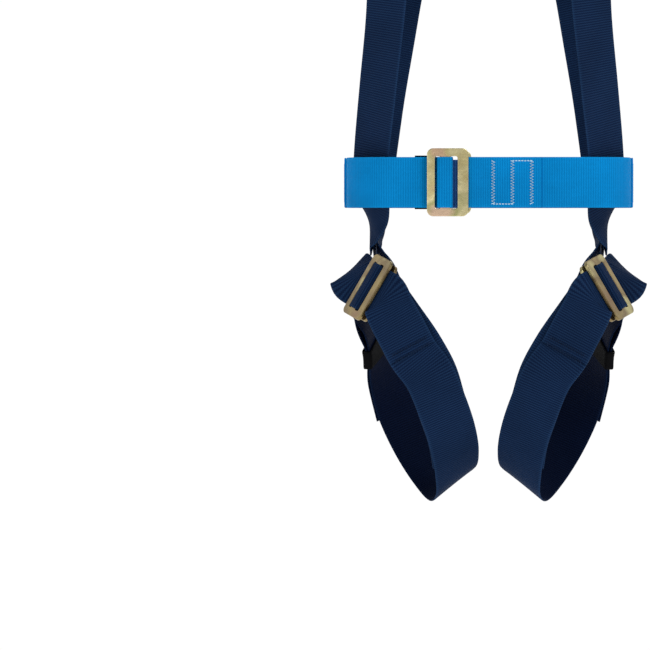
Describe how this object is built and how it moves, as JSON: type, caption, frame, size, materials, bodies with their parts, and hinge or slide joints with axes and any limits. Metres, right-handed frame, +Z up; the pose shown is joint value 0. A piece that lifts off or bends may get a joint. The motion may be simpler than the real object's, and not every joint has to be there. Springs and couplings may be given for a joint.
{
  "type": "full body safety harness",
  "caption": "Full body fall-arrest harness: navy shoulder and leg webbing, blue waist belt, pass-through buckles and a dorsal D-ring.",
  "frame": {"origin": "centre of the wearer's waist at half the height of the waist belt", "axes": "+Z up along the wearer's spine, +X to the wearer's left, the wearer faces -Y"},
  "size_m": [0.2798, 0.2711, 0.806],
  "materials": {
    "belt_webbing": "matt",
    "navy_webbing": "matt",
    "elastic": "matt",
    "zinc": "satin",
    "pad": "matt",
    "thread": "matt"
  },
  "bodies": {
    "webbing": {"belt_loose_strap": "belt_webbing", "belt_rear_strap": "belt_webbing", "belt_ring": "zinc", "belt_sewn_strap": "belt_webbing", "belt_stitching": "thread", "chest_loose_strap": "navy_webbing", "chest_ring": "zinc", "chest_sewn_strap": "navy_webbing", "chest_stitching": "thread", "dorsal_pad": "pad", "hip_front_left": "navy_webbing", "hip_front_right": "navy_webbing", "hip_rear_left": "navy_webbing", "hip_rear_right": "navy_webbing", "leg_crotch_left": "navy_webbing", "leg_crotch_right": "navy_webbing", "leg_front_left": "navy_webbing", "leg_front_right": "navy_webbing", "leg_rear_left": "navy_webbing", "leg_rear_right": "navy_webbing", "leg_ring_left": "zinc", "leg_ring_right": "zinc", "leg_stitching_left": "thread", "leg_stitching_right": "thread", "leg_tail_left": "navy_webbing", "leg_tail_right": "navy_webbing", "leg_turn_left": "navy_webbing", "leg_turn_right": "navy_webbing", "shoulder_crossing_left": "navy_webbing", "shoulder_crossing_right": "navy_webbing", "shoulder_front_left": "navy_webbing", "shoulder_front_right": "navy_webbing", "shoulder_rear_left": "navy_webbing", "shoulder_rear_right": "navy_webbing", "shoulder_top_left": "navy_webbing", "shoulder_top_right": "navy_webbing", "side_stitching_left": "thread", "side_stitching_right": "thread", "thigh_strap_left": "navy_webbing", "thigh_strap_right": "navy_webbing"},
    "dorsal_ring": {"dorsal_ring": "zinc"},
    "belt_slider": {"belt_slider": "zinc"},
    "chest_slider": {"chest_slider": "zinc"},
    "leg_slider_left": {"leg_slider_left": "zinc"},
    "leg_slider_right": {"leg_slider_right": "zinc"},
    "belt_keeper": {"belt_keeper": "elastic"},
    "leg_keeper_left": {"leg_keeper_left": "elastic"},
    "leg_keeper_right": {"leg_keeper_right": "elastic"},
    "chest_keeper": {"chest_keeper": "elastic"}
  },
  "joints": [
    {"name": "dorsal_ring_swing", "type": "hinge", "parent": "webbing", "child": "dorsal_ring", "pos_m": [0, 0.107, 0.4], "axis": [1, 0, 0], "range_deg": [-8, 40]},
    {"name": "belt_slider_tilt", "type": "hinge", "parent": "webbing", "child": "belt_slider", "pos_m": [-0.0374, -0.0941, 0], "axis": [0, 0, 1], "range_deg": [-2, 0.5]},
    {"name": "chest_slider_tilt", "type": "hinge", "parent": "webbing", "child": "chest_slider", "pos_m": [-0.0161, -0.1141, 0.3], "axis": [0, 0, 1], "range_deg": [-2, 0.5]},
    {"name": "leg_slider_left_tilt", "type": "hinge", "parent": "webbing", "child": "leg_slider_left", "pos_m": [0.10598, -0.06803, -0.09086], "axis": [0.5011, -0.0388, -0.8645], "range_deg": [-2, 0.5]},
    {"name": "leg_slider_right_tilt", "type": "hinge", "parent": "webbing", "child": "leg_slider_right", "pos_m": [-0.10598, -0.06803, -0.09086], "axis": [-0.5011, -0.0388, -0.8645], "range_deg": [-0.5, 2]},
    {"name": "belt_keeper_slide", "type": "slide", "parent": "webbing", "child": "belt_keeper", "axis": [-1, 0, 0], "range_m": [0, 0.014]},
    {"name": "chest_keeper_slide", "type": "slide", "parent": "webbing", "child": "chest_keeper", "axis": [1, 0, 0], "range_m": [0, 0.005]},
    {"name": "leg_keeper_left_slide", "type": "slide", "parent": "webbing", "child": "leg_keeper_left", "axis": [0.1991, -0.4646, 0.8628], "range_m": [0, 0.002]},
    {"name": "leg_keeper_right_slide", "type": "slide", "parent": "webbing", "child": "leg_keeper_right", "axis": [-0.1991, -0.4646, 0.8628], "range_m": [0, 0.002]}
  ]
}
